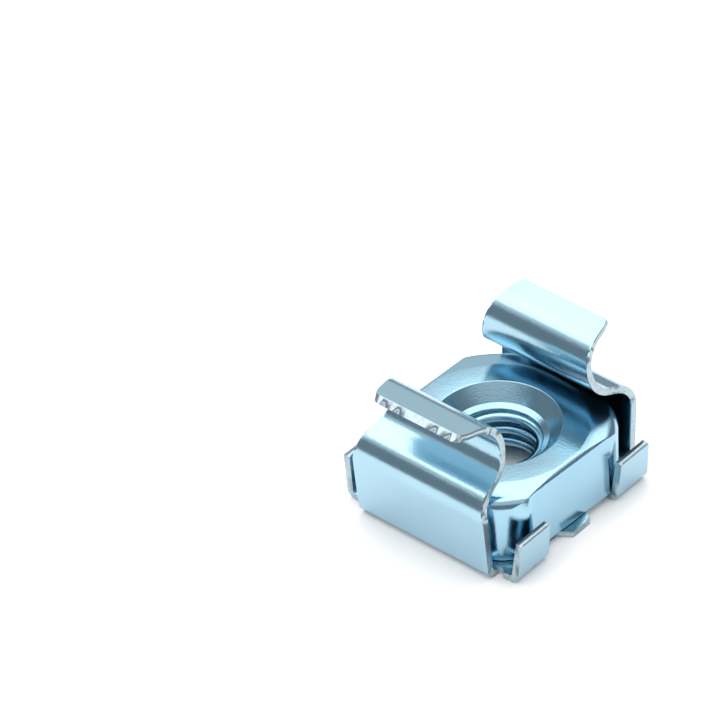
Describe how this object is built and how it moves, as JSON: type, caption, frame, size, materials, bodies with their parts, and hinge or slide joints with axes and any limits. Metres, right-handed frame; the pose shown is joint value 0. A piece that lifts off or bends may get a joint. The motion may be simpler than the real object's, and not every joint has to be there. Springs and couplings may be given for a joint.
{
  "type": "rack cage nut",
  "caption": "Square threaded nut held loosely in a folded spring steel cage whose sprung ears snap through the square hole of a rack rail.",
  "frame": {"origin": "on the screw axis, at the underside of the cage's base, on which it stands", "axes": "+Z along the screw axis, from the base towards the ears; X along the side walls and ears, with the loose nut a little towards +X; Y across, from ear to ear"},
  "size_m": [0.015, 0.0156, 0.0111],
  "materials": {
    "cage_plating": "bright zinc plate with a pale blue passivation",
    "nut_plating": "bright zinc plate with a blue passivation"
  },
  "bodies": {
    "root": {"spring_cage": "cage_plating", "square_nut": "nut_plating"}
  },
  "joints": []
}
